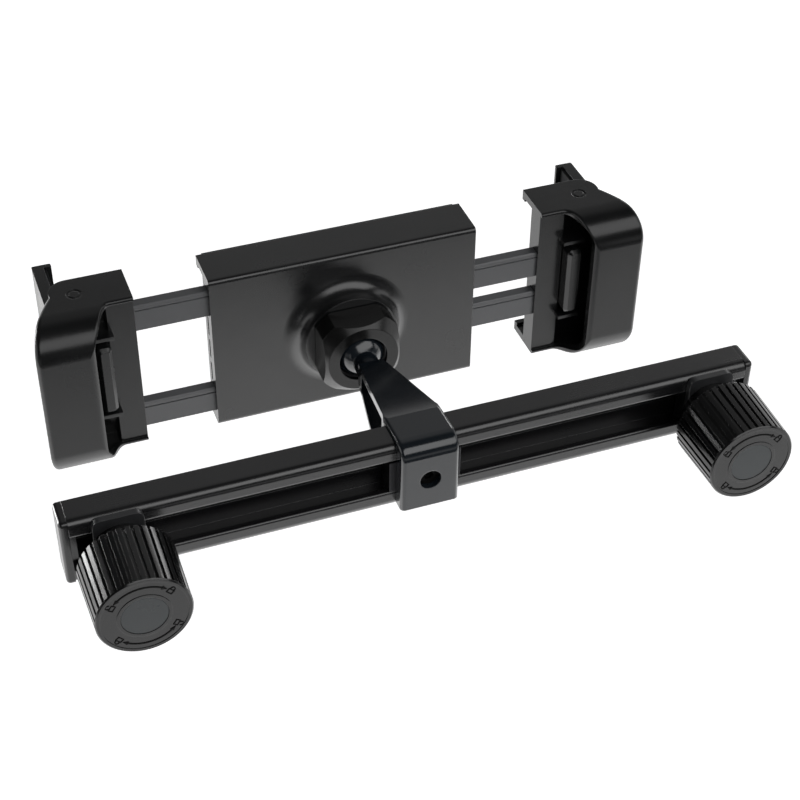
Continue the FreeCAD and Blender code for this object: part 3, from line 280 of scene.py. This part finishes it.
# %% Satin black mouldings
satin = black_finish("satin_moulding", (0.010, 0.0105, 0.011), 0.25, 0.8, grain=0.000003)
jaw_satin = black_finish("jaw_moulding", (0.010, 0.0105, 0.011), 0.24, 0.5, grain=0.000003)
cap_satin = black_finish("cap_moulding", (0.010, 0.010, 0.011), 0.24, 0.7, grain=0.000003)
plate_satin = black_finish("plate_moulding", (0.030, 0.031, 0.033), 0.30, 0.6, grain=0.000004)
print(satin.name, jaw_satin.name, cap_satin.name, plate_satin.name)

# %% Smooth black castings
arm_gloss = black_finish("arm_gloss", (0.010, 0.014, 0.019), 0.16, 0.7, grain=0.000002, coat=0.3,
                         edge_width=0.0004)
nut_gloss = black_finish("nut_gloss", (0.006, 0.006, 0.006), 0.24, 0.5, grain=0.000002,
                         edge_width=0.0003)
knob_gloss = black_finish("knob_gloss", (0.005, 0.005, 0.0055), 0.18, 0.6, grain=0.000002,
                          edge_width=0.00015)
print(arm_gloss.name, nut_gloss.name, knob_gloss.name)

# %% Drawn black metal
bar_metal = black_finish("bar_metal", (0.010, 0.010, 0.011), 0.20, 0.9, lines=0.000004,
                         edge_width=0.0003)
rail_metal = black_finish("rail_metal", (0.080, 0.083, 0.089), 0.30, 0.8, lines=0.000006,
                          edge_width=0.0002)
steel = black_finish("blackened_steel", (0.03, 0.03, 0.033), 0.35, 0.5, grain=0.000006,
                     metallic=0.8)
print(bar_metal.name, rail_metal.name, steel.name)

# %% Rubber, liners and slate discs
rubber = black_finish("soft_rubber", (0.012, 0.012, 0.013), 0.7, 0.2, grain=0.00003,
                      grain_scale=1500.0)
dull_black = black_finish("dull_black", (0.003, 0.003, 0.003), 0.5, 0.1, grain=0.000004)
liner = black_finish("liner_grey", (0.03, 0.03, 0.033), 0.4, 0.4, grain=0.000006)
slate = black_finish("disc_slate", (0.030, 0.038, 0.042), 0.30, 0.6, grain=0.000004)
print(rubber.name, dull_black.name, liner.name, slate.name)

# %% [markdown]
# ## Which solid gets which finish
# The names of the solids say what they are, so a short table of name starts is enough. Each CAD
# mesh keeps its shape and only its material is exchanged.

# %% Dress the solids
finishes = {
    "rail_bar": bar_metal, "end_cap": cap_satin,
    "arm": arm_gloss, "arm_screw": dull_black, "arm_key": steel,
    "ball_seat": liner, "ball_nut": nut_gloss, "housing_shell": satin, "back_plate": satin,
    "rail_brakes": liner, "plate_screws": steel, "tablet_pad": rubber, "slot_bolt": steel,
    "guard_plate": plate_satin, "knob": knob_gloss, "knob_disc": slate, "grip_washer": rubber,
    "rail_upper": rail_metal, "rail_lower": rail_metal, "jaw_shell": jaw_satin, "hook": jaw_satin,
    "hook_pad": rubber, "rail_screws": steel, "hook_screws": steel,
}
for name, solid in nodes.items():
    stem = max((key for key in finishes if name == key or name.startswith(key + "_")), key=len)
    solid.data.materials.clear()
    solid.data.materials.append(finishes[stem])
print(f"{len(nodes)} solids dressed in {len(set(finishes.values()))} finishes")

# %% [markdown]
# ## Marks on the knobs' faces
# Each face has two curved arrows with a head at both ends, and padlocks, open and shut, that say
# which way grips. They stand on the bottom of the shallow ring that the CAD model cuts into the
# face, and end just under its rim, so the knob keeps its size. Every mark is built at the centre
# of the knob, turned about the knob's axis to its angle and joined to the others. Angles are
# counted from +X towards +Z.

# %% Blanks for the marks
MARK_HEIGHT = 0.15 * MM
MARK_INSET = 0.02 * MM
FACE_TURN = (0, 1, 0)
STRIP_STEP = 5
FEWEST_STEPS = 8


def start_piece(operator, **options):
    """Runs one of Blender's add operators with nothing else selected."""
    bpy.ops.object.select_all(action="DESELECT")
    operator(**options)
    return bpy.context.object


def settle(item):
    """Puts an object's place, turn and scale into its mesh."""
    bpy.ops.object.select_all(action="DESELECT")
    item.select_set(True)
    bpy.context.view_layer.objects.active = item
    bpy.ops.object.transform_apply(location=True, rotation=True, scale=True)
    return item


def bent_strip(radius, width, span):
    """A bar of rectangular section bent about the knob's axis, from +X on."""
    item = start_piece(bpy.ops.mesh.primitive_plane_add, size=1.0)
    item.scale = (width, MARK_HEIGHT, 1)
    settle(item)
    bpy.ops.object.mode_set(mode="EDIT")
    bpy.ops.mesh.select_all(action="SELECT")
    bpy.ops.transform.translate(value=(radius, 0, 0))
    steps = max(FEWEST_STEPS, round(math.degrees(span) / STRIP_STEP))
    bpy.ops.mesh.spin(steps=steps, angle=span, center=(0, 0, 0), axis=FACE_TURN)
    bpy.ops.mesh.select_all(action="SELECT")
    bpy.ops.mesh.normals_make_consistent(inside=False)
    bpy.ops.object.mode_set(mode="OBJECT")
    return item


def turned(item, degrees):
    """Turns a piece about the knob's axis."""
    item.rotation_euler = (0, -math.radians(degrees), 0)
    return settle(item)


def moved(item, x, z):
    """Moves a piece within the knob's face."""
    item.location = (x, 0, z)
    return settle(item)


print("mark height", MARK_HEIGHT)

# %% Curved arrows
ARROW_RADIUS = 10.3 * MM
ARROW_LINE = 0.45 * MM
HEAD_LENGTH = 1.7 * MM
HEAD_WIDTH = 1.3 * MM
ARROW_SPANS = ((52.5, 137.0), (232.5, 317.0))


def arrow_head(degrees, forward):
    """A flat triangle at the arrow's radius; forward points it towards growing angles.

    A triangle on a circle of radius 1 is sqrt(3) wide and 1.5 long.
    """
    item = start_piece(bpy.ops.mesh.primitive_cylinder_add, vertices=3, radius=1.0,
                       depth=MARK_HEIGHT, rotation=(math.radians(90 if forward else -90), 0, 0))
    settle(item)
    item.scale = (HEAD_WIDTH / math.sqrt(3), 1, HEAD_LENGTH / 1.5)
    settle(item)
    moved(item, ARROW_RADIUS, 0)
    return turned(item, degrees)


def curved_arrow(first, last):
    """A strip between two angles in degrees, with a head at both ends."""
    head_angle = math.degrees(HEAD_LENGTH / ARROW_RADIUS)
    span = last - first - head_angle
    strip = turned(bent_strip(ARROW_RADIUS, ARROW_LINE, math.radians(span)),
                   first + head_angle / 2)
    return [strip, arrow_head(first + head_angle / 3, False),
            arrow_head(last - head_angle / 3, True)]


marks = []
for first, last in ARROW_SPANS:
    marks += curved_arrow(first, last)
print("arrow pieces:", len(marks))

# %% Padlocks
LOCK_RADIUS = 10.4 * MM
LOCK_WIDTH = 2.0 * MM
LOCK_DEPTH = 1.5 * MM
LOCK_LINE = 0.28 * MM
LOCK_SINK = 0.4 * MM
SHACKLE_RADIUS = 0.6 * MM
SHACKLE_LEG = 0.5 * MM
LEG_MIDDLE = -0.2 * MM
SHUT_RISE = 0.3 * MM
OPEN_RISE = 0.6 * MM
OPEN_TURN = 25
PADLOCKS = ((42.0, False), (146.5, True), (222.0, False), (326.5, True))


def straight_bar(x, z, length_x, length_z):
    """A flat bar with its middle at x, z."""
    bar = start_piece(bpy.ops.mesh.primitive_cube_add, size=1.0)
    bar.scale = (length_x, MARK_HEIGHT, length_z)
    settle(bar)
    return moved(bar, x, z)


def padlock(degrees, is_open):
    """An outlined block with a shackle on its outer side; an open one stands off, turned."""
    edge_x = (LOCK_DEPTH - LOCK_LINE) / 2
    edge_z = (LOCK_WIDTH - LOCK_LINE) / 2
    block = [straight_bar(side * edge_x, 0, LOCK_LINE, LOCK_WIDTH) for side in (-1, 1)]
    block += [straight_bar(0, side * edge_z, LOCK_DEPTH - 2 * LOCK_LINE, LOCK_LINE)
              for side in (-1, 1)]
    bow = [turned(bent_strip(SHACKLE_RADIUS, LOCK_LINE, math.radians(180)), -90)]
    bow += [straight_bar(LEG_MIDDLE, side * SHACKLE_RADIUS, SHACKLE_LEG, LOCK_LINE)
            for side in (-1, 1)]
    for part in bow:
        if is_open:
            turned(part, OPEN_TURN)
        moved(part, LOCK_DEPTH / 2 + (OPEN_RISE if is_open else SHUT_RISE), 0)
    pieces = block + bow
    for part in pieces:
        moved(part, LOCK_RADIUS - LOCK_SINK, 0)
        turned(part, degrees)
    return pieces


for degrees, is_open in PADLOCKS:
    marks += padlock(degrees, is_open)
print("pieces in all:", len(marks))

# %% Join the marks and give each knob its set
bpy.ops.object.select_all(action="DESELECT")
for part in marks:
    part.select_set(True)
bpy.context.view_layer.objects.active = marks[0]
bpy.ops.object.join()
pattern = marks[0]
face_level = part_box("knob_left")[0].y
for side in ("left", "right"):
    low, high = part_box("knob_" + side)
    item = pattern.copy()
    item.data = pattern.data.copy()
    item.name = "knob_marks_" + side
    scene.collection.objects.link(item)
    item.location = ((low.x + high.x) / 2, face_level + MARK_HEIGHT / 2 + MARK_INSET, 0)
    settle(item)
    item.data.materials.clear()
    item.data.materials.append(dull_black)
    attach(item, side + "_knob")
bpy.data.objects.remove(pattern)
print("marks on both knobs")

# %% [markdown]
# ## Floor and background
# The mount hangs in the air, so the pale floor lies well below it. The camera and mirrored rays
# see white surroundings and a floor that glows; the light that reaches the object from them is
# weaker, so that black stays black. In the picture's view the floor clips to white, and the
# object's shadow on it is lost in that. In low views the far floor is a pale grey.

# %% Pale floor
FLOOR_LEVEL = -0.34
FLOOR_SIZE = 8.0
FLOOR_GLOW = 0.8
FLOOR_COLOUR = (0.86, 0.86, 0.86, 1)
WHITE = (1, 1, 1, 1)


def looked_at(tree):
    """1 for rays from the camera, mirrored or through glass, and 0 for light on the object."""
    path = add(tree, "LightPath")
    seen = sum_up(tree, "MAXIMUM", path.outputs["Is Camera Ray"], path.outputs["Is Glossy Ray"])
    return sum_up(tree, "MAXIMUM", seen, path.outputs["Is Transmission Ray"])


bpy.ops.object.select_all(action="DESELECT")
bpy.ops.mesh.primitive_plane_add(size=FLOOR_SIZE, location=(0, 0, FLOOR_LEVEL))
floor = bpy.context.object
floor.name = "floor"
bpy.ops.object.transform_apply(location=True, rotation=True, scale=True)
pale = bpy.data.materials.new("pale_floor")
pale.use_nodes = True
tree = pale.node_tree
tree.nodes.clear()
matt = add(tree, "BsdfDiffuse", None, {"Color": FLOOR_COLOUR})
glow = add(tree, "Emission", None,
           {"Color": WHITE, "Strength": sum_up(tree, "MULTIPLY", looked_at(tree), FLOOR_GLOW)})
both = add(tree, "AddShader", None, {0: matt.outputs[0], 1: glow.outputs[0]})
add(tree, "OutputMaterial", None, {"Surface": both.outputs[0]})
floor.data.materials.append(pale)
print("floor at", FLOOR_LEVEL)

# %% White surroundings
world = bpy.data.worlds.new("studio")
scene.world = world
world.use_nodes = True
tree = world.node_tree
tree.nodes.clear()
ROOM_LIGHT = 0.10
strength = remap(tree, looked_at(tree), 0.0, 1.0, ROOM_LIGHT, 1.0)
room = add(tree, "Background", None, {"Color": WHITE, "Strength": strength})
add(tree, "OutputWorld", None, {"Surface": room.outputs[0]})
print("room light", ROOM_LIGHT)

# %% [markdown]
# ## Soft lamps, a tent and cards
# Black plastic shows its surroundings more than it shows light. One broad lamp above and in front
# is mirrored by the rounded edges of the jaws and the bar as a bright band. Two narrow lamps low
# behind draw lines on the ribs of the knobs. Around everything hangs a tent of dark cloth that
# only mirrored rays see. It is paler overhead on the right and far behind, where the tops and the
# steep edges look. Cards on the floor do the same from below: the front faces mirror the white
# floor just short of a dark card, so they come out paler than the tops, as in the picture. A
# grey card further out and the foot of the tent lift them a little in low views.

# %% Lamps
def softbox(name, place, width, height, power, target=(0, 0.03, 0)):
    """A rectangular area lamp that faces the target."""
    bpy.ops.object.select_all(action="DESELECT")
    bpy.ops.object.light_add(type="AREA", location=place)
    lamp = bpy.context.object
    lamp.name = name
    lamp.data.shape = "RECTANGLE"
    lamp.data.size = width
    lamp.data.size_y = height
    lamp.data.energy = power
    aim = Vector(target) - Vector(place)
    lamp.rotation_euler = aim.to_track_quat("-Z", "Y").to_euler()
    return lamp


softbox("front_softbox", (0.40, -0.90, 0.78), 1.8, 0.8, 8.0)
softbox("left_rim_lamp", (-1.0, 1.0, -0.1), 0.2, 0.8, 8.0)
softbox("right_rim_lamp", (1.0, 1.1, 0.2), 0.2, 0.8, 2.5)

# %% Dark tent and floor cards, only seen in reflections
TENT_RADIUS = 1.6
TENT_LENGTH = 7.0
CLOTH_GLOW = 0.03
TOP_GLOW, TOP_ANGLES = 0.25, (92, 112)
BACK_GLOW, BACK_ANGLES = 0.8, (155, 175)
FOOT_GLOW, FOOT_ANGLES = 0.4, (-12, 0)
LEFT_SHARE, SIDE_PLACES = 0.1, (-0.5, 0.1)


def glowing(tree, strength):
    """Makes a material that gives off white light and nothing else."""
    light = add(tree, "Emission", None, {"Color": WHITE, "Strength": strength})
    add(tree, "OutputMaterial", None, {"Surface": light.outputs[0]})


def between(tree, value, limits, first, last):
    """Goes from the first level to the last between two angles in degrees."""
    return remap(tree, value, math.radians(limits[0]), math.radians(limits[1]), first, last)


def reflections_only(item):
    """Hides a piece from all rays but mirrored ones."""
    for kind in ("camera", "diffuse", "transmission", "shadow"):
        setattr(item, "visible_" + kind, False)


bpy.ops.object.select_all(action="DESELECT")
bpy.ops.mesh.primitive_cylinder_add(vertices=96, radius=TENT_RADIUS, depth=TENT_LENGTH,
                                    end_fill_type="NOTHING", rotation=(0, math.radians(90), 0))
tent = bpy.context.object
tent.name = "dark_tent"
bpy.ops.object.transform_apply(location=True, rotation=True, scale=True)
cloth = bpy.data.materials.new("tent_cloth")
cloth.use_nodes = True
tree = cloth.node_tree
tree.nodes.clear()
where = add(tree, "TexCoord")
apart = add(tree, "SeparateXYZ", None, {0: where.outputs["Object"]})
ahead = sum_up(tree, "MULTIPLY", apart.outputs[1], -1.0)
angle = sum_up(tree, "ARCTAN2", apart.outputs[2], ahead)
over = between(tree, angle, TOP_ANGLES, 0.0, TOP_GLOW)
side = remap(tree, apart.outputs[0], SIDE_PLACES[0], SIDE_PLACES[1], LEFT_SHARE, 1.0)
above = sum_up(tree, "MULTIPLY_ADD", over, side, CLOTH_GLOW)
from_front = sum_up(tree, "ABSOLUTE", angle)
behind = between(tree, from_front, BACK_ANGLES, 0.0, BACK_GLOW)
foot = between(tree, angle, FOOT_ANGLES, FOOT_GLOW, 0.0)
glowing(tree, sum_up(tree, "ADD", sum_up(tree, "ADD", above, behind), foot))
tent.data.materials.append(cloth)
reflections_only(tent)


def card(name, low, high, level, strength):
    """A flat card just above the floor, given by two corners, that mirrored rays see."""
    bpy.ops.object.select_all(action="DESELECT")
    bpy.ops.mesh.primitive_plane_add(size=1.0)
    item = bpy.context.object
    item.name = name
    item.scale = (high[0] - low[0], high[1] - low[1], 1)
    item.location = ((low[0] + high[0]) / 2, (low[1] + high[1]) / 2, FLOOR_LEVEL + level)
    bpy.ops.object.transform_apply(location=True, rotation=True, scale=True)
    paint = bpy.data.materials.new(name)
    paint.use_nodes = True
    paint.node_tree.nodes.clear()
    glowing(paint.node_tree, strength)
    item.data.materials.append(paint)
    reflections_only(item)


card("dark_card", (-3.5, -0.95), (3.5, -0.43), 0.002, 0.04)
card("grey_card", (-3.5, -1.7), (3.5, -0.95), 0.002, 0.45)
card("bright_card", (-1.2, -0.20), (0.8, 0.12), 0.004, 1.8)
print("tent and cards hung")

# %% [markdown]
# ## Camera
# The picture was taken from the left, above and in front of the knobs. The angles, the distance
# and the lens were solved from corners of the bar, the housing and the knobs. The image is 800
# pixels wide, and the lens in millimetres follows from the focal length in pixels.

# %% Camera
IMAGE_WIDTH = 800
FOCAL_PIXELS = 1729.3
AZIMUTH = math.radians(-20.55)
ELEVATION = math.radians(39.99)
ROLL = math.radians(0.70)
DISTANCE = 0.5058
CENTRE_RIGHT = 0.00559
CENTRE_BELOW = 0.01715
SENSOR_WIDTH = 36.0

back = Vector((math.sin(AZIMUTH) * math.cos(ELEVATION), -math.cos(AZIMUTH) * math.cos(ELEVATION),
               math.sin(ELEVATION)))
level_right = Vector((math.cos(AZIMUTH), math.sin(AZIMUTH), 0))
level_up = back.cross(level_right)
right = level_right * math.cos(ROLL) + level_up * math.sin(ROLL)
up = level_up * math.cos(ROLL) - level_right * math.sin(ROLL)
place = back * DISTANCE - right * CENTRE_RIGHT + up * CENTRE_BELOW
bpy.ops.object.select_all(action="DESELECT")
bpy.ops.object.camera_add()
camera = bpy.context.object
camera.matrix_world = Matrix((
    (right.x, up.x, back.x, place.x),
    (right.y, up.y, back.y, place.y),
    (right.z, up.z, back.z, place.z),
    (0, 0, 0, 1)))
camera.data.sensor_width = SENSOR_WIDTH
camera.data.lens = FOCAL_PIXELS / IMAGE_WIDTH * SENSOR_WIDTH
camera.data.clip_start = 0.01
scene.camera = camera
print(f"camera at {tuple(round(v, 3) for v in place)}, lens {camera.data.lens:.1f} mm")

# %% [markdown]
# ## Plain colours
# The view transform is the plain one, so that a colour renders as it is written.

# %% Finish
scene.view_settings.view_transform = "Standard"
